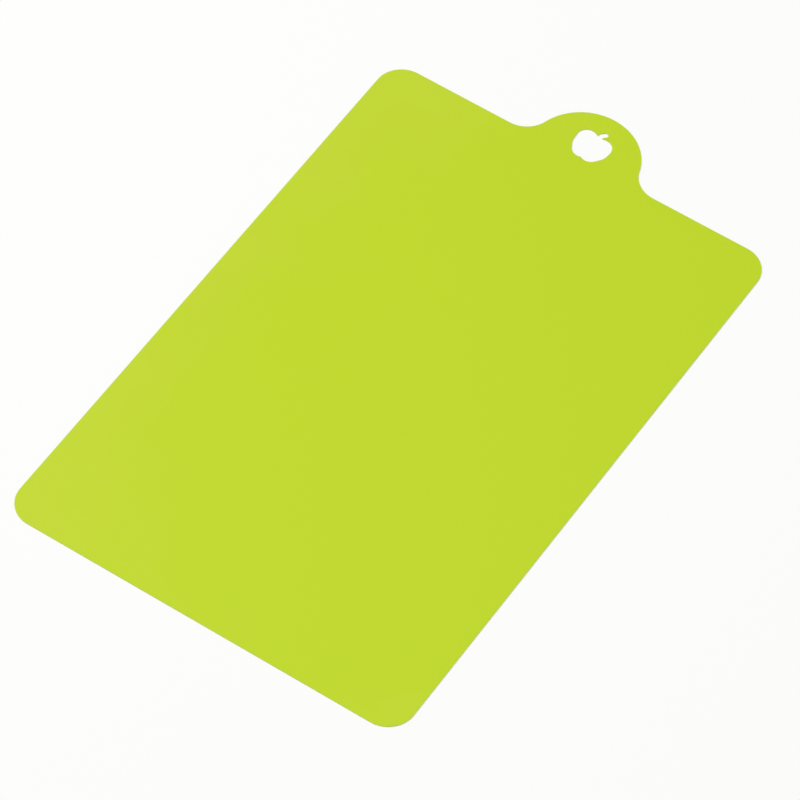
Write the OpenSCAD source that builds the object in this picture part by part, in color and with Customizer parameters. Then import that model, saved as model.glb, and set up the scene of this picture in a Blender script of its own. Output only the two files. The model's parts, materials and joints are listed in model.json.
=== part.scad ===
/* [Mat] */
// Width of the mat, along X
mat_w = 230; // [180:5:300]
// Length of the mat along Y, without the tab
mat_l = 345; // [250:5:450]
// Thickness of the sheet
mat_t = 0.8; // [0.4:0.1:2]
// Radius of the four corners
corner_r = 15; // [4:0.5:30]

/* [Hang tab] */
// Radius of the tab's round end
tab_r = 30; // [26:0.5:40]
// Height of the tab's centre over the mat's end edge
tab_rise = 2; // [0:0.5:10]
// Radius of the hollow curve on each side, where the tab runs into the end edge
root_r = 15.5; // [11:0.5:24]

/* [Hang hole] */
// Height of the apple's middle over the mat's end edge
apple_y = 10.6; // [8:0.1:13]
// Middle of the apple to one side of the tab's centre line, along X
apple_x = -0.5; // [-2:0.1:2]
// Lean of the apple, clockwise from above
apple_lean = 5; // [0:0.5:15]
// Radius of the left shoulder, which stands higher than the right one
left_shoulder_r = 5.6; // [5:0.1:6.5]
// Left shoulder's centre from the apple's middle line
left_shoulder_x = 5.2; // [4:0.1:5.4]
// Left shoulder's centre over the apple's middle
left_shoulder_y = 3.3; // [2:0.1:4]
// Radius of the right shoulder
right_shoulder_r = 6; // [5:0.1:6.5]
// Right shoulder's centre from the apple's middle line
right_shoulder_x = 4.2; // [4:0.1:5.4]
// Right shoulder's centre over the apple's middle
right_shoulder_y = 2.4; // [2:0.1:4]
// Radius of each half's belly
belly_r = 7.8; // [7:0.1:8.5]
// Belly's centre from the apple's middle line
belly_x = 2.4; // [2:0.1:2.8]
// Radius of each half's foot
foot_r = 5.7; // [5:0.1:6]
// Foot's centre from the apple's middle line
foot_x = 2.5; // [2:0.1:3]
// Foot's centre under the apple's middle
foot_drop = 3.7; // [3:0.1:4.2]
// Half the width of the stalk
stalk_r = 1.5; // [1:0.1:1.8]
// Stalk's root to one side of the apple's middle line
stalk_root_x = -0.2; // [-0.5:0.1:0.5]
// Height of the stalk's root over the apple's middle
stalk_root_y = 8.8; // [8:0.1:9]
// Rise of the stalk's tip over its root
stalk_rise = 1.8; // [1.2:0.1:3]
// Sideways reach of the stalk's tip from its root
stalk_reach = 1.5; // [0.5:0.1:2]

/* [Bending] */
// Width of the middle strip, which holds the hang hole and stays flat
middle_w = 30; // [26:1:50]
// Number of strips on each side of the middle one
side_strips = 10; // [4:1:15]

/* [Look] */
// Colour of the plastic, as red, green and blue from 0 to 1
mat_colour = [0.76, 0.85, 0.2];

/* [Hidden] */
$fn = 72;
sides = ["left", "right"];
// How far a cutting shape runs past what it cuts
past = 1;
// How far a filling stays inside the tangents that it follows
hair = 0.002;
strip_w = (mat_w - middle_w) / 2 / side_strips;

// The whole outline, tab included, is centred on the origin, and the mat lies on Z = 0
tab_reach = tab_rise + tab_r;
end_y = (mat_l - tab_reach) / 2;
foot_end_y = end_y - mat_l;

// Each root curve touches the end edge and the tab's round end, so its centre follows from both
root_y = end_y + root_r;
root_x = sqrt(pow(tab_r + root_r, 2) - pow(root_r - tab_rise, 2));
touch = tab_r / (tab_r + root_r);
touch_x = root_x * touch;
touch_y = end_y + tab_rise + (root_r - tab_rise) * touch;

function two_digits(i) = i < 10 ? str("0", i) : str(i);
function strip_name(side, i) = str(side, "_strip_", two_digits(i));

// The plain mat: a rectangle with four rounded corners
module mat_outline() {
    in_x = mat_w / 2 - corner_r;
    translate([-mat_w / 2, foot_end_y + corner_r])
        square([mat_w, mat_l - 2 * corner_r]);
    translate([-in_x, foot_end_y])
        square([2 * in_x, mat_l]);
    for (x = [-in_x, in_x], y = [foot_end_y + corner_r, end_y - corner_r])
        translate([x, y])
            circle(r = corner_r);
}

// The tab: a round end on a neck that flares into the mat's end edge
module tab_outline() {
    translate([0, end_y + tab_rise])
        circle(r = tab_r);
    difference() {
        polygon([
            [-root_x, end_y - past],
            [root_x, end_y - past],
            [root_x, end_y],
            [touch_x, touch_y],
            [-touch_x, touch_y],
            [-root_x, end_y]
        ]);
        for (x = [-root_x, root_x])
            translate([x, root_y])
                circle(r = root_r);
    }
}

// The space between a pair of circles, filled out to their two tangents. It keeps a hair inside them,
// so that its sides cross the circles cleanly where they would only touch
module bridge(p, p_r, q, q_r) {
    gap = norm(q - p);
    along = atan2(q.y - p.y, q.x - p.x);
    if (gap > abs(p_r - q_r)) {
        turn = acos((p_r - q_r) / gap);
        up = [cos(along + turn), sin(along + turn)];
        down = [cos(along - turn), sin(along - turn)];
        p_in = p_r - hair;
        q_in = q_r - hair;
        polygon([p + p_in * up, p + p_in * down, q + q_in * down, q + q_in * up]);
    }
}

// Circles joined by their tangents, each to the next
module chain(centres, radii) {
    for (i = [0:len(centres) - 1])
        translate(centres[i])
            circle(r = radii[i]);
    for (i = [0:len(centres) - 2])
        bridge(centres[i], radii[i], centres[i + 1], radii[i + 1]);
}

// One half of the apple, rounded over its shoulder, belly and foot, and filled to the middle line
module apple_half(shoulder, shoulder_r) {
    belly = [belly_x, 0];
    foot = [foot_x, -foot_drop];
    chain([shoulder, belly, foot, shoulder], [shoulder_r, belly_r, foot_r, shoulder_r]);
}

// The short stalk, leaning to the right
module apple_stalk() {
    root = [stalk_root_x, stalk_root_y];
    chain([root, root + [stalk_reach, stalk_rise]], [stalk_r, stalk_r]);
}

// The hang hole: a whole apple with its stalk
module apple_outline() {
    translate([apple_x, end_y + apple_y])
        rotate(-apple_lean) {
            apple_half([right_shoulder_x, right_shoulder_y], right_shoulder_r);
            mirror([1, 0])
                apple_half([left_shoulder_x, left_shoulder_y], left_shoulder_r);
            apple_stalk();
        }
}

// The sheet as it is cut out
module sheet_outline() {
    difference() {
        union() {
            mat_outline();
            tab_outline();
        }
        apple_outline();
    }
}

// The slice of the sheet between two values of X, at full thickness
module slice(from_x, to_x) {
    color(mat_colour)
        linear_extrude(height = mat_t)
            intersection() {
                sheet_outline();
                translate([from_x, foot_end_y - past])
                    square([to_x - from_x, mat_l + tab_reach + 2 * past]);
            }
}

module centre_strip() {
    slice(-middle_w / 2, middle_w / 2);
}

// Strip 1 lies against the middle strip, and the last one holds the mat's long edge
module side_strip(side, i) {
    near_x = middle_w / 2 + (i - 1) * strip_w;
    if (side == "left")
        slice(-near_x - strip_w, -near_x);
    else
        slice(near_x, near_x + strip_w);
}

centre_strip();
for (side = sides)
    for (i = [1:side_strips])
        side_strip(side, i);
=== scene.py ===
import json
import math

import bmesh
import bpy
from mathutils import Matrix, Vector


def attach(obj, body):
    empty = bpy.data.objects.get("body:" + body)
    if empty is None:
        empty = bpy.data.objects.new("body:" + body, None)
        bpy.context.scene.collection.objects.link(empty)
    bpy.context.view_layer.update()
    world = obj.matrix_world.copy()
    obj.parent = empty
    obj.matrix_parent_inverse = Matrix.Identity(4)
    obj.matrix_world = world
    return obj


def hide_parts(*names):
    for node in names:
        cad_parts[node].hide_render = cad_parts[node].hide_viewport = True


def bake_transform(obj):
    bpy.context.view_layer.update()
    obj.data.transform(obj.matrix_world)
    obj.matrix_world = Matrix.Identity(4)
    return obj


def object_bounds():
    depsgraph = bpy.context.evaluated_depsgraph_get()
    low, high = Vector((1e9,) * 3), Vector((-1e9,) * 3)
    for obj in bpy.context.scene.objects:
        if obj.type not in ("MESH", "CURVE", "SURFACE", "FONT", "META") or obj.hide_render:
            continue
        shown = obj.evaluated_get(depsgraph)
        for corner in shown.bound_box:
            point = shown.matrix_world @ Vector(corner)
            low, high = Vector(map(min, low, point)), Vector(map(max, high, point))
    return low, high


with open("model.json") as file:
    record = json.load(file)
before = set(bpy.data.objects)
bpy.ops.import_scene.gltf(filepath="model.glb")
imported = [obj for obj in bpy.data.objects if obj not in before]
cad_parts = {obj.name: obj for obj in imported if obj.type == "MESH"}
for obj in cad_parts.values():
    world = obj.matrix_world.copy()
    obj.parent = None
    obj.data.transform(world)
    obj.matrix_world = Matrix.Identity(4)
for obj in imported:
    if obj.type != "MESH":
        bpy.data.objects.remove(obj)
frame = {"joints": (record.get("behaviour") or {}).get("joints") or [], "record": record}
CAD_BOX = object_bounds()

bl_info = {
    "name": "Flexible Cutting Mat",
    "version": (1, 0, 0),
    "blender": (4, 5, 0),
    "location": "3D View > Sidebar > Cutting Mat",
    "description": "Builds a thin plastic cutting mat that bends at every hinge of its frame",
    "category": "Add Mesh",
}

HOLE_MIDDLE = next(m for m in frame["record"]["mounts"] if m["name"] == "hang_hole")["pos_m"][:2]
MM = 0.001

# Two points closer than this are the same point
SAME = 1e-6

# Two corners of the cut sheet closer than this become one
CLOSE = 0.1 * MM

# Turn of one step along an arc of the outline
ARC_STEP = math.radians(2.5)

# Steps round a full circle of the hole, and of its small stalk
HOLE_STEPS = 120
STALK_STEPS = 48

# How far the flat middle runs on past the start of the first bend, to clear the rim of the hole
HOLE_MARGIN = 0.05 * MM

# Walls that meet at a smaller turn than this are one wall
STRAIGHT = math.radians(0.5)

# Walls that meet at a sharper turn than this form a tip
TIP_ANGLE = math.radians(25)

# Faces that meet at a sharper turn than this meet at a rim
RIM_ANGLE = math.radians(60)

# Edges sharper than this are shaded as creases
CREASE_ANGLE = math.radians(40)

# Facets across the rounding of a rim, and across each half of a tip's rounding
RIM_FACETS = 3
TIP_FACETS = 4

# Share of a tip's flat that its two roundings take up, which keeps them just apart
TIP_FILL = 0.98

# Corners of a rounded tip that are closer than this share of its radius become one
TIP_MERGE = 0.1

# A face whose normal points this much up or down lies flat
FLAT_NORMAL = 0.5

# The UV map that holds each point's place on the flat sheet, in metres, so that the finish follows a bend
FLAT_MAP = "flat_sheet"

# The sheet's two materials: as the rollers pressed it, and where the die cut it
PRESSED = "matt_pressed_polypropylene"
CUT = "die_cut_polypropylene"

# Polypropylene's index of refraction, and its shine as the matt rollers leave it
PLASTIC_IOR = 1.49
PLASTIC_SHINE = 0.3

# Roughness between the grains and on them, and of the rim that the die cut
GRAIN_ROUGHNESS = (0.5, 0.62)
CUT_ROUGHNESS = 0.38

# The part of a noise's range that nearly all of it lies in
NOISE_RANGE = (0.3, 0.7)

# Drag marks that the die leaves on the rim: their width, height and strength, and how many times
# longer than wide they run through the sheet's thickness
MARK_WIDTH = 0.2 * MM
MARK_HEIGHT = 0.01 * MM
MARK_STRENGTH = 0.5
MARK_STRETCH = 10

# Roughly how much finer the smallest parts of a cloud and of a grain are, in doublings
CLOUD_DETAIL = 3
GRAIN_DETAIL = 1

# How strongly the finer parts of a grain show
GRAIN_CRISPNESS = 0.6

# How much the clouds move the painted sheen, and where it begins and is full
CLOUD_SHARE = 0.6
PAINTED_SHEEN_RANGE = (0.95, 1.45)

# Half the width of the floor, and how far it lies under the sheet
FLOOR_HALF = 10
FLOOR_DROP = 0.1 * MM

# The camera's sensor in mm, and the nearest and farthest that it sees
SENSOR = 36
CLIP = (0.1, 50)


class SheetSizes(bpy.types.PropertyGroup):
    """The outline of the sheet. Its overall box comes from the frame"""

    width: bpy.props.FloatProperty(
        name="Width", description="Across the mat, along X",
        default=CAD_BOX[1].x - CAD_BOX[0].x, unit="LENGTH")
    thickness: bpy.props.FloatProperty(
        name="Thickness", description="Of the sheet",
        default=CAD_BOX[1].z - CAD_BOX[0].z, unit="LENGTH")
    corner_radius: bpy.props.FloatProperty(
        name="Corner radius", description="Of the four corners", default=15 * MM, unit="LENGTH")
    tab_radius: bpy.props.FloatProperty(
        name="Tab radius", description="Of the hang tab's round end", default=30 * MM, unit="LENGTH")
    tab_rise: bpy.props.FloatProperty(
        name="Tab rise", description="Height of the tab's centre over the mat's end edge",
        default=2 * MM, unit="LENGTH")
    root_radius: bpy.props.FloatProperty(
        name="Root radius", description="Of the hollow curves beside the tab", default=15.5 * MM,
        unit="LENGTH")
    rim_radius: bpy.props.FloatProperty(
        name="Rim rounding", description="Rounding that the cutting die leaves on each rim",
        default=0.12 * MM, unit="LENGTH")
    tip_radius: bpy.props.FloatProperty(
        name="Tip radius", description="Of the rounding at each pointed tip of the hole",
        default=0.2 * MM, unit="LENGTH")


class HoleSizes(bpy.types.PropertyGroup):
    """The hang hole: a whole apple with its stalk"""

    middle: bpy.props.FloatVectorProperty(
        name="Middle", description="Of the apple, in the mat's frame",
        size=2, default=HOLE_MIDDLE, unit="LENGTH")
    lean: bpy.props.FloatProperty(
        name="Lean", description="Of the apple, clockwise from above",
        default=math.radians(5), subtype="ANGLE")
    left_shoulder_radius: bpy.props.FloatProperty(
        name="Left shoulder radius", description="Of the left shoulder", default=5.6 * MM, unit="LENGTH")
    left_shoulder: bpy.props.FloatVectorProperty(
        name="Left shoulder", description="Centre of the left shoulder, from the apple's middle",
        size=2, default=(-5.2 * MM, 3.3 * MM), unit="LENGTH")
    right_shoulder_radius: bpy.props.FloatProperty(
        name="Right shoulder radius", description="Of the right shoulder", default=6 * MM, unit="LENGTH")
    right_shoulder: bpy.props.FloatVectorProperty(
        name="Right shoulder", description="Centre of the right shoulder, from the apple's middle",
        size=2, default=(4.2 * MM, 2.4 * MM), unit="LENGTH")
    belly_radius: bpy.props.FloatProperty(
        name="Belly radius", description="Of each half's belly", default=7.8 * MM, unit="LENGTH")
    belly: bpy.props.FloatVectorProperty(
        name="Belly", description="Centre of the right belly, from the apple's middle",
        size=2, default=(2.4 * MM, 0), unit="LENGTH")
    foot_radius: bpy.props.FloatProperty(
        name="Foot radius", description="Of each half's foot", default=5.7 * MM, unit="LENGTH")
    foot: bpy.props.FloatVectorProperty(
        name="Foot", description="Centre of the right foot, from the apple's middle",
        size=2, default=(2.5 * MM, -3.7 * MM), unit="LENGTH")
    stalk_radius: bpy.props.FloatProperty(
        name="Stalk radius", description="Half the width of the stalk", default=1.5 * MM, unit="LENGTH")
    stalk_root: bpy.props.FloatVectorProperty(
        name="Stalk root", description="Centre of the stalk's lower end, from the apple's middle",
        size=2, default=(-0.2 * MM, 8.8 * MM), unit="LENGTH")
    stalk_tip: bpy.props.FloatVectorProperty(
        name="Stalk tip", description="Centre of the stalk's upper end, from the apple's middle",
        size=2, default=(1.3 * MM, 10.6 * MM), unit="LENGTH")


class PlasticLook(bpy.types.PropertyGroup):
    """The plastic's colours and surface"""

    colour: bpy.props.StringProperty(
        name="Colour", description="Of the plastic, as sRGB hex", default="BED619")
    # Painted sheen: this paler colour stands for a soft reflection of the light towards the rim, not for
    # wear from handling
    painted_sheen_colour: bpy.props.StringProperty(
        name="Haze colour", description="Where handling has made the sheet paler, as sRGB hex",
        default="C1D629")
    painted_sheen_middle: bpy.props.FloatProperty(
        name="Haze middle", description="X of the clearest part of the sheet", default=45 * MM,
        unit="LENGTH")
    painted_sheen_reach: bpy.props.FloatVectorProperty(
        name="Haze reach", description="Across and along the sheet, from its clearest part to the haze",
        size=2, default=(160 * MM, 250 * MM), unit="LENGTH")
    # Width of one patch of the painted sheen
    cloud: bpy.props.FloatProperty(
        name="Cloud", description="Width of one patch of the haze", default=45 * MM, unit="LENGTH")
    # Painted light: the rim is paler than the plastic, for light that passes through the thin sheet and
    # out at its cut edge
    painted_light_edge_colour: bpy.props.StringProperty(
        name="Edge colour", description="Of the cut rim, as sRGB hex", default="CCE03C")
    grain: bpy.props.FloatProperty(
        name="Grain", description="Width of one grain of the matt finish", default=0.35 * MM,
        unit="LENGTH")
    grain_height: bpy.props.FloatProperty(
        name="Grain height", description="Height of one grain of the matt finish", default=0.03 * MM,
        unit="LENGTH")


class StageLook(bpy.types.PropertyGroup):
    """The camera, the light and the floor"""

    aim: bpy.props.FloatVectorProperty(
        name="Aim", description="Point that the camera looks at",
        size=3, default=(7.72 * MM, -23.34 * MM, 0.8 * MM), unit="LENGTH")
    distance: bpy.props.FloatProperty(
        name="Distance", description="From the camera to its aim", default=2.63, unit="LENGTH")
    azimuth: bpy.props.FloatProperty(
        name="Azimuth", description="Of the camera, from the mat's foot towards its right side",
        default=math.radians(30.84), subtype="ANGLE")
    elevation: bpy.props.FloatProperty(
        name="Elevation", description="Of the camera, over the worktop",
        default=math.radians(53.93), subtype="ANGLE")
    roll: bpy.props.FloatProperty(
        name="Roll", description="Of the camera, to the left", default=math.radians(3.26),
        subtype="ANGLE")
    lens: bpy.props.FloatProperty(
        name="Lens", description="Focal length, in mm on a 36 mm sensor", default=239.24)
    floor_colour: bpy.props.StringProperty(
        name="Floor colour", description="As sRGB hex", default="FAFAF9")
    floor_glow: bpy.props.FloatProperty(
        name="Floor glow", description="Share of plain white in the floor round the mat",
        default=0.5, subtype="FACTOR")
    floor_fade: bpy.props.FloatVectorProperty(
        name="Floor fade", description="Distances at which the floor starts and ends its turn to white",
        size=2, default=(0.35, 1.0), unit="LENGTH")
    lamp_power: bpy.props.FloatProperty(
        name="Lamp power", description="Of the large soft lamp", default=40.6, subtype="POWER")
    lamp_size: bpy.props.FloatProperty(
        name="Lamp size", description="Width of the large soft lamp", default=2.0, unit="LENGTH")
    lamp_place: bpy.props.FloatVectorProperty(
        name="Lamp place", description="Middle of the large soft lamp", size=3,
        default=(-0.6, -0.5, 2.6), subtype="TRANSLATION", unit="LENGTH")
    sky: bpy.props.FloatProperty(
        name="Room light", description="Strength of the even light from all round", default=0.525)


def linear(colour):
    """An sRGB hex colour as linear red, green and blue, and full alpha"""
    parts = [int(colour[i:i + 2], 16) / 255 for i in (0, 2, 4)]
    return [*(c / 12.92 if c <= 0.04045 else ((c + 0.055) / 1.055) ** 2.4 for c in parts), 1]


def add(tree, kind, inputs=None, **settings):
    """A new node with its settings; each input takes a value, or an output to be linked to"""
    made = tree.nodes.new(kind)
    for name, value in settings.items():
        setattr(made, name, value)
    for socket, value in (inputs or {}).items():
        if isinstance(value, bpy.types.NodeSocket):
            tree.links.new(value, made.inputs[socket])
        else:
            made.inputs[socket].default_value = value
    return made


def empty_material(name):
    """A new material with no nodes yet, and its node tree"""
    material = bpy.data.materials.new(name)
    material.use_nodes = True
    material.node_tree.nodes.clear()
    return material, material.node_tree


# The two finishes of the plastic


def matt_polypropylene(look):
    """Sheet pressed between fine-grained rollers: it looks soft and even, with no clear highlight, and
    has a painted sheen towards the rim
    """
    material, tree = empty_material(PRESSED)
    place = add(tree, "ShaderNodeUVMap", uv_map=FLAT_MAP).outputs["UV"]
    # Painted sheen: a faint paler colour in soft patches, which stands for a soft reflection of the light
    # on the sheet.
    # It is least a little to the right of the middle and grows towards the rim
    across, along = look.painted_sheen_reach
    spread = add(tree, "ShaderNodeMapping", {
        "Vector": place, "Location": (-look.painted_sheen_middle / across, 0, 0),
        "Scale": (1 / across, 1 / along, 0),
    })
    out = add(tree, "ShaderNodeVectorMath", {0: spread.outputs["Vector"]}, operation="LENGTH")
    clouds = add(tree, "ShaderNodeTexNoise", {
        "Vector": place, "Scale": 1 / look.cloud, "Detail": CLOUD_DETAIL,
    })
    patchy = add(tree, "ShaderNodeMath", {
        0: clouds.outputs["Fac"], 1: CLOUD_SHARE, 2: out.outputs["Value"],
    }, operation="MULTIPLY_ADD")
    sheen = add(tree, "ShaderNodeMapRange", {
        "Value": patchy.outputs[0], "From Min": PAINTED_SHEEN_RANGE[0], "From Max": PAINTED_SHEEN_RANGE[1],
    }, interpolation_type="SMOOTHSTEP")
    colour = add(tree, "ShaderNodeMix", {
        "Factor": sheen.outputs["Result"], "A": linear(look.colour), "B": linear(look.painted_sheen_colour),
    }, data_type="RGBA")
    # The matt grain of the rollers, which breaks up the shine
    grain = add(tree, "ShaderNodeTexNoise", {
        "Vector": place, "Scale": 1 / look.grain,
        "Detail": GRAIN_DETAIL, "Roughness": GRAIN_CRISPNESS,
    })
    rough = add(tree, "ShaderNodeMapRange", {
        "Value": grain.outputs["Fac"], "From Min": NOISE_RANGE[0], "From Max": NOISE_RANGE[1],
        "To Min": GRAIN_ROUGHNESS[0], "To Max": GRAIN_ROUGHNESS[1],
    })
    relief = add(tree, "ShaderNodeBump", {
        "Height": grain.outputs["Fac"], "Strength": 1.0, "Distance": look.grain_height,
    })
    shader = add(tree, "ShaderNodeBsdfPrincipled", {
        "Base Color": colour.outputs["Result"], "Roughness": rough.outputs["Result"],
        "IOR": PLASTIC_IOR, "Specular IOR Level": PLASTIC_SHINE, "Normal": relief.outputs["Normal"],
    })
    add(tree, "ShaderNodeOutputMaterial", {"Surface": shader.outputs["BSDF"]})
    return material


def cut_polypropylene(look):
    """The same sheet where the die cut it: a smoother line along the rim, painted slightly paler for the
    light that comes out through the cut edge
    """
    material, tree = empty_material(CUT)
    place = add(tree, "ShaderNodeTexCoord").outputs["Object"]
    # Fine upright drag marks of the die
    drawn = add(tree, "ShaderNodeMapping", {"Vector": place, "Scale": (1, 1, 1 / MARK_STRETCH)})
    marks = add(tree, "ShaderNodeTexNoise", {"Vector": drawn.outputs["Vector"], "Scale": 1 / MARK_WIDTH})
    # The drag marks mix the plastic's own colour with the rim's paler colour, which is painted light
    colour = add(tree, "ShaderNodeMix", {
        "Factor": marks.outputs["Fac"], "A": linear(look.painted_light_edge_colour), "B": linear(look.colour),
    }, data_type="RGBA")
    relief = add(tree, "ShaderNodeBump", {
        "Height": marks.outputs["Fac"], "Strength": MARK_STRENGTH, "Distance": MARK_HEIGHT,
    })
    shader = add(tree, "ShaderNodeBsdfPrincipled", {
        "Base Color": colour.outputs["Result"], "Roughness": CUT_ROUGHNESS, "IOR": PLASTIC_IOR,
        "Specular IOR Level": PLASTIC_SHINE, "Normal": relief.outputs["Normal"],
    })
    add(tree, "ShaderNodeOutputMaterial", {"Surface": shader.outputs["BSDF"]})
    return material


# The sheet


def line_to(bm, start, x, y):
    """A straight edge from a vertex to a place; returns the new vertex"""
    end = bmesh.ops.extrude_vert_indiv(bm, verts=[start])["verts"][0]
    end.co = (x, y, 0)
    return end


def arc_from(bm, start, x, y, angle):
    """An arc from a vertex around a centre, anticlockwise when the angle is positive"""
    steps = max(2, round(abs(angle) / ARC_STEP))
    swept = bmesh.ops.spin(bm, geom=[start], cent=(x, y, 0), axis=(0, 0, 1), angle=angle, steps=steps)
    return swept["geom_last"][0]


def end_edges(sizes):
    """The Y of the mat's foot edge and of the end edge that carries the tab"""
    foot_y = CAD_BOX[0].y
    return foot_y, -foot_y - sizes.tab_rise - sizes.tab_radius


def blank(sizes):
    """The sheet without its hole, as a closed solid"""
    foot_y, end_y = end_edges(sizes)
    half = sizes.width / 2
    corner, root = sizes.corner_radius, sizes.root_radius
    climb = root - sizes.tab_rise
    root_x = math.sqrt((sizes.tab_radius + root) ** 2 - climb ** 2)
    # The direction from the tab's centre to where the tab meets its root curve
    touch = math.atan2(climb, root_x)
    quarter = math.pi / 2

    bm = bmesh.new()
    at = bm.verts.new((0, foot_y, 0))
    at = line_to(bm, at, half - corner, foot_y)
    at = arc_from(bm, at, half - corner, foot_y + corner, quarter)
    at = line_to(bm, at, half, end_y - corner)
    at = arc_from(bm, at, half - corner, end_y - corner, quarter)
    at = line_to(bm, at, root_x, end_y)
    at = arc_from(bm, at, root_x, end_y + root, touch - quarter)
    arc_from(bm, at, 0, end_y + sizes.tab_rise, quarter - touch)
    bmesh.ops.mirror(bm, geom=bm.verts[:] + bm.edges[:], axis="X", merge_dist=SAME)
    bmesh.ops.remove_doubles(bm, verts=bm.verts, dist=SAME)
    face = bmesh.ops.contextual_create(bm, geom=bm.edges)["faces"]
    raised = bmesh.ops.extrude_face_region(bm, geom=face, use_keep_orig=True)["geom"]
    upper = [part for part in raised if isinstance(part, bmesh.types.BMVert)]
    bmesh.ops.translate(bm, vec=(0, 0, sizes.thickness), verts=upper)
    bmesh.ops.recalc_face_normals(bm, faces=bm.faces)
    return bm


def rounded_cutter(name, circles, place, height, steps):
    """A tall prism around some circles, each a centre and a radius, to be cut out of the sheet"""
    bm = bmesh.new()
    for (x, y), radius in circles:
        bmesh.ops.create_cone(bm, cap_ends=True, segments=steps, radius1=radius, radius2=radius,
                              depth=height, matrix=Matrix.Translation((x, y, 0)))
    hull = bmesh.ops.convex_hull(bm, input=bm.verts)
    bmesh.ops.delete(bm, geom=list({*hull["geom_interior"], *hull["geom_unused"]}), context="VERTS")
    bmesh.ops.dissolve_limit(bm, angle_limit=STRAIGHT, verts=bm.verts, edges=bm.edges)
    bmesh.ops.transform(bm, matrix=place, verts=bm.verts)
    bmesh.ops.recalc_face_normals(bm, faces=bm.faces)
    return new_object(name, bm)


def new_object(name, bm):
    """An object from a bmesh, which is used up"""
    mesh = bpy.data.meshes.new(name)
    bm.to_mesh(mesh)
    bm.free()
    made = bpy.data.objects.new(name, mesh)
    bpy.context.scene.collection.objects.link(made)
    return made


def lies_flat(face):
    """True for the working face and the underside, and False for the walls"""
    return abs(face.normal.z) > FLAT_NORMAL


def divide_at(bm, y):
    """Divides both flat faces across the hole at one place, and nowhere else"""
    cut_at(bm, 1, y)
    strays = [e for e in bm.edges if all(lies_flat(f) for f in e.link_faces)
              and max(abs(v.co.y - y) for v in e.verts) > SAME]
    bmesh.ops.dissolve_edges(bm, edges=strays, use_verts=True)


def upright_edges(edges):
    """The edges that run through the sheet's thickness"""
    return [e for e in edges if abs(e.verts[0].co.z - e.verts[1].co.z) > SAME]


def bevel(bm, edges, reach, segments):
    """Rounds some edges, or cuts them off flat when there is one segment"""
    return bmesh.ops.bevel(
        bm, geom=edges, offset=reach, offset_type="OFFSET", segments=segments, profile=0.5,
        affect="EDGES", clamp_overlap=False, material=-1)


def round_tips(bm, radius):
    """Rounds the pointed tips of the hole, as a cutting die does. The walls beside each tip are joined up
    first, so that they are long enough for it. A tip is cut off flat, and both corners of the flat are
    rounded, which comes closer to an arc than one bevel of the whole turn"""
    uprights = upright_edges(bm.edges)
    tips = [e for e in uprights if e.calc_face_angle(0) > TIP_ANGLE]
    crowded = [e for e in uprights if any(
        SAME < (e.verts[0].co.xy - tip.verts[0].co.xy).length < MM for tip in tips)]
    bmesh.ops.dissolve_edges(bm, edges=crowded, use_verts=True)
    for tip in tips:
        turn = tip.calc_face_angle()
        half_flat = radius * math.tan(turn / 4)
        flat = bevel(bm, [tip], radius * math.tan(turn / 2) - half_flat, segments=1)
        bevel(bm, upright_edges(flat["edges"]), TIP_FILL * half_flat, segments=TIP_FACETS)
    bmesh.ops.remove_doubles(bm, verts=bm.verts, dist=TIP_MERGE * radius)


def whole_sheet(scene):
    """The whole sheet with its apple hole and rounded rims, as a bmesh"""
    sizes, hole = scene.sheet_sizes, scene.hole_sizes
    place = Matrix.Translation((*hole.middle, 0)) @ Matrix.Rotation(-hole.lean, 4, "Z")
    # The cutters stand well past both faces
    height = 4 * sizes.thickness
    lower = [(hole.belly, hole.belly_radius), (hole.foot, hole.foot_radius)]
    right_half = [(hole.right_shoulder, hole.right_shoulder_radius), *lower]
    left_half = [(hole.left_shoulder, hole.left_shoulder_radius)]
    left_half += [((-x, y), radius) for (x, y), radius in lower]
    stalk = [(hole.stalk_root, hole.stalk_radius), (hole.stalk_tip, hole.stalk_radius)]
    cutters = [
        rounded_cutter("right_half", right_half, place, height, HOLE_STEPS),
        rounded_cutter("left_half", left_half, place, height, HOLE_STEPS),
        rounded_cutter("stalk", stalk, place, height, STALK_STEPS),
    ]
    sheet = new_object("sheet", blank(sizes))
    for cutter in cutters:
        cut = sheet.modifiers.new(cutter.name, "BOOLEAN")
        cut.operation = "DIFFERENCE"
        cut.solver = "EXACT"
        cut.object = cutter
    bm = bmesh.new()
    bm.from_object(sheet, bpy.context.evaluated_depsgraph_get())
    for used in [sheet, *cutters]:
        bpy.data.meshes.remove(used.data)
    bmesh.ops.remove_doubles(bm, verts=bm.verts, dist=CLOSE)
    bmesh.ops.dissolve_limit(bm, angle_limit=STRAIGHT, verts=bm.verts, edges=bm.edges)
    divide_at(bm, hole.middle[1])
    round_tips(bm, sizes.tip_radius)
    uprights = set(upright_edges(bm.edges))
    rims = [e for e in bm.edges if e not in uprights and e.calc_face_angle(0) > RIM_ANGLE]
    for face in bm.faces:
        face.material_index = 0 if lies_flat(face) else 1
    for face in bevel(bm, rims, sizes.rim_radius, segments=RIM_FACETS)["faces"]:
        face.material_index = 1
    return bm


def cut_at(bm, axis, value, drop=None):
    """Cuts a mesh across X or Y; drop "above" or "below" takes that side away and closes the cut"""
    point, normal = Vector((0, 0, 0)), Vector((0, 0, 0))
    point[axis], normal[axis] = value, 1
    cut = bmesh.ops.bisect_plane(
        bm, geom=bm.verts[:] + bm.edges[:] + bm.faces[:], dist=SAME, plane_co=point, plane_no=normal,
        clear_outer=drop == "above", clear_inner=drop == "below")
    if drop:
        rim = [g for g in cut["geom_cut"] if isinstance(g, bmesh.types.BMEdge)]
        for face in bmesh.ops.edgeloop_fill(bm, edges=rim)["faces"]:
            face.material_index = 1


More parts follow.
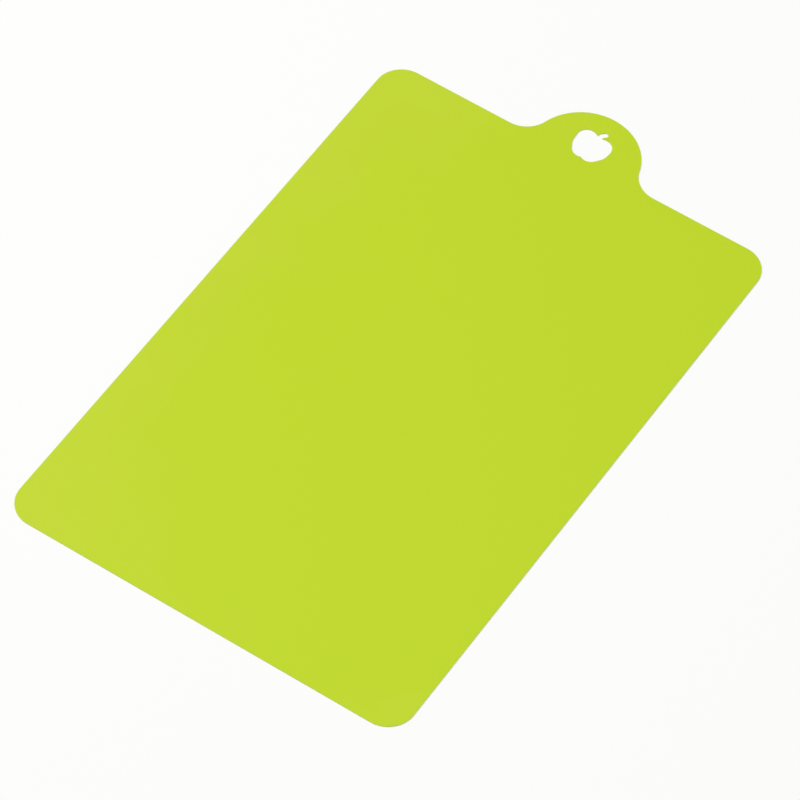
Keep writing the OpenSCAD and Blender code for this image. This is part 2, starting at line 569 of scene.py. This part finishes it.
def piece_of(whole, name, low, high, materials, folds=(), rows=()):
    """The part of the sheet between two values of X, with extra edges at its folds and rows"""
    bm = whole.copy()
    cut_at(bm, 0, low, drop="below")
    cut_at(bm, 0, high, drop="above")
    for x in folds:
        cut_at(bm, 0, x)
    for y in rows:
        cut_at(bm, 1, y)
    bmesh.ops.recalc_face_normals(bm, faces=bm.faces)
    flat = bm.loops.layers.uv.new(FLAT_MAP)
    for face in bm.faces:
        for loop in face.loops:
            loop[flat].uv = loop.vert.co.xy
    piece = new_object(name, bm)
    for material in materials:
        piece.data.materials.append(material)
    piece.data.polygons.foreach_set("use_smooth", [True] * len(piece.data.polygons))
    piece.data.set_sharp_from_angle(angle=CREASE_ANGLE)
    # The flat faces keep their own direction up to the rounding of the rim
    shading = piece.modifiers.new("even_shading", "WEIGHTED_NORMAL")
    shading.keep_sharp = True
    shading.weight = 100
    return piece


def plastics(scene):
    """The two materials of the sheet, made once"""
    if PRESSED not in bpy.data.materials:
        matt_polypropylene(scene.plastic_look)
        cut_polypropylene(scene.plastic_look)
    return [bpy.data.materials[name] for name in (PRESSED, CUT)]


def side_hinges(side):
    """The hinges of one side, from the middle outwards"""
    hinges = [joint for joint in frame["joints"] if joint["name"].startswith(side)]
    return sorted(hinges, key=lambda joint: abs(joint["pos_m"][0]))


def middle_half_width():
    """Half of the flat middle piece: up to the start of the band that the first hinge bends"""
    first, second = side_hinges("right")[:2]
    return first["pos_m"][0] - (second["pos_m"][0] - first["pos_m"][0]) / 2 + HOLE_MARGIN


class MakeMiddle(bpy.types.Operator):
    """Makes the flat middle of the sheet, with the hang hole"""

    bl_idname = "cutting_mat.middle"
    bl_label = "Middle of the Sheet"

    def execute(self, context):
        whole = whole_sheet(context.scene)
        half = middle_half_width()
        middle = piece_of(whole, "mat_middle", -half, half, plastics(context.scene))
        whole.free()
        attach(middle, "centre_strip")
        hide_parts("centre_strip")
        return {"FINISHED"}


class MakeSides(bpy.types.Operator):
    """Makes both sides of the sheet, a band for each hinge, each cut across at its fold"""

    bl_idname = "cutting_mat.sides"
    bl_label = "Bending Sides"

    def execute(self, context):
        sizes = context.scene.sheet_sizes
        whole = whole_sheet(context.scene)
        foot_y, end_y = end_edges(sizes)
        near = middle_half_width()
        rows = [foot_y + sizes.corner_radius, end_y - sizes.corner_radius]
        for side, sign in (("left", -1), ("right", 1)):
            start = near
            hinges = side_hinges(side)
            for number, hinge in enumerate(hinges, 1):
                fold = abs(hinge["pos_m"][0])
                stop = 2 * fold - start
                edge = sizes.width / 2 + MM if number == len(hinges) else stop
                low, high = sorted((sign * start, sign * edge))
                band = piece_of(whole, f"mat_{side}_{number:02d}", low, high, plastics(context.scene),
                                folds=[sign * fold], rows=rows)
                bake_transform(band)
                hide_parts(hinge["child"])
                start = stop
        whole.free()
        return {"FINISHED"}


# The stage


def lamp(name, power, size, place):
    """A round area lamp that points at the middle of the mat"""
    data = bpy.data.lights.new(name, "AREA")
    data.energy = power
    data.shape = "DISK"
    data.size = size
    made = bpy.data.objects.new(name, data)
    bpy.context.scene.collection.objects.link(made)
    made.location = place
    made.rotation_euler = (-Vector(place)).to_track_quat("-Z", "Y").to_euler()


def seen_ray(tree):
    """1 for rays that show a thing as it is, to the camera or in a gloss or glass, and 0 for the rest"""
    path = add(tree, "ShaderNodeLightPath").outputs
    either = add(tree, "ShaderNodeMath", {
        0: path["Is Camera Ray"], 1: path["Is Glossy Ray"],
    }, operation="MAXIMUM")
    any_of_them = add(tree, "ShaderNodeMath", {
        0: either.outputs[0], 1: path["Is Transmission Ray"],
    }, operation="MAXIMUM")
    return any_of_them.outputs[0]


def seamless_paper(look):
    """Matt white paper, with soft shadows round the mat, which runs out into the white backdrop"""
    material, tree = empty_material("seamless_white_paper")
    place = add(tree, "ShaderNodeTexCoord").outputs["Object"]
    away = add(tree, "ShaderNodeVectorMath", {0: place}, operation="LENGTH")
    far = add(tree, "ShaderNodeMapRange", {
        "Value": away.outputs["Value"], "From Min": look.floor_fade[0], "From Max": look.floor_fade[1],
        "To Min": look.floor_glow, "To Max": 1.0,
    }, interpolation_type="SMOOTHSTEP")
    share = add(tree, "ShaderNodeMath", {
        0: seen_ray(tree), 1: far.outputs["Result"],
    }, operation="MULTIPLY")
    paper = add(tree, "ShaderNodeBsdfDiffuse", {"Color": linear(look.floor_colour), "Roughness": 1.0})
    white = add(tree, "ShaderNodeEmission", {"Color": (1, 1, 1, 1), "Strength": 1.0})
    both = add(tree, "ShaderNodeMixShader", {
        "Fac": share.outputs[0], 1: paper.outputs[0], 2: white.outputs[0],
    })
    add(tree, "ShaderNodeOutputMaterial", {"Surface": both.outputs[0]})
    return material


class MakeStage(bpy.types.Operator):
    """Makes the floor, the light and the camera"""

    bl_idname = "cutting_mat.stage"
    bl_label = "Floor, Light and Camera"

    def execute(self, context):
        scene = context.scene
        look = scene.stage_look
        bm = bmesh.new()
        bmesh.ops.create_grid(bm, x_segments=1, y_segments=1, size=FLOOR_HALF,
                              matrix=Matrix.Translation((0, 0, -FLOOR_DROP)))
        floor = new_object("floor", bm)
        floor.data.materials.append(seamless_paper(look))

        world = bpy.data.worlds.new("white_room")
        world.use_nodes = True
        tree = world.node_tree
        tree.nodes.clear()
        strength = add(tree, "ShaderNodeMix", {
            "Factor": seen_ray(tree), "A": look.sky, "B": 1.0,
        }, data_type="FLOAT")
        room = add(tree, "ShaderNodeBackground", {
            "Color": (1, 1, 1, 1), "Strength": strength.outputs["Result"],
        })
        add(tree, "ShaderNodeOutputWorld", {"Surface": room.outputs[0]})
        scene.world = world

        lamp("soft_lamp", look.lamp_power, look.lamp_size, look.lamp_place)

        data = bpy.data.cameras.new("camera")
        data.lens = look.lens
        data.sensor_width = SENSOR
        data.clip_start, data.clip_end = CLIP
        camera = bpy.data.objects.new("camera", data)
        scene.collection.objects.link(camera)
        # From the mat back to the camera
        flat = math.cos(look.elevation)
        back = Vector((
            math.sin(look.azimuth) * flat, -math.cos(look.azimuth) * flat, math.sin(look.elevation),
        ))
        camera.location = Vector(look.aim) + look.distance * back
        level = (-back).to_track_quat("-Z", "Y").to_matrix().to_4x4()
        camera.rotation_euler = (level @ Matrix.Rotation(look.roll, 4, "Z")).to_euler()
        scene.camera = camera
        scene.view_settings.view_transform = "Standard"
        return {"FINISHED"}


class CuttingMatPanel(bpy.types.Panel):
    """Lists the sizes and the operators"""

    bl_idname = "VIEW3D_PT_cutting_mat"
    bl_label = "Cutting Mat"
    bl_space_type = "VIEW_3D"
    bl_region_type = "UI"
    bl_category = "Cutting Mat"

    def draw(self, context):
        """Shows each group's values in a box of its own, and then the operators"""
        for group, _ in GROUPS:
            box = self.layout.box()
            values = getattr(context.scene, group)
            for name in values.__annotations__:
                box.prop(values, name)
        for maker in MAKERS:
            self.layout.operator(maker.bl_idname)


GROUPS = (
    ("sheet_sizes", SheetSizes),
    ("hole_sizes", HoleSizes),
    ("plastic_look", PlasticLook),
    ("stage_look", StageLook),
)
MAKERS = (MakeMiddle, MakeSides, MakeStage)


def register():
    """Adds the classes, and the groups of sizes and colours to the scene"""
    for _, group in GROUPS:
        bpy.utils.register_class(group)
    for maker in (*MAKERS, CuttingMatPanel):
        bpy.utils.register_class(maker)
    for name, group in GROUPS:
        setattr(bpy.types.Scene, name, bpy.props.PointerProperty(type=group))


def unregister():
    """Takes away all that register added"""
    for name, _ in GROUPS:
        delattr(bpy.types.Scene, name)
    for maker in (CuttingMatPanel, *reversed(MAKERS)):
        bpy.utils.unregister_class(maker)
    for _, group in reversed(GROUPS):
        bpy.utils.unregister_class(group)


def main():
    """Makes the whole object and its stage"""
    register()
    bpy.ops.cutting_mat.middle()
    bpy.ops.cutting_mat.sides()
    bpy.ops.cutting_mat.stage()


if __name__ == "__main__":
    main()
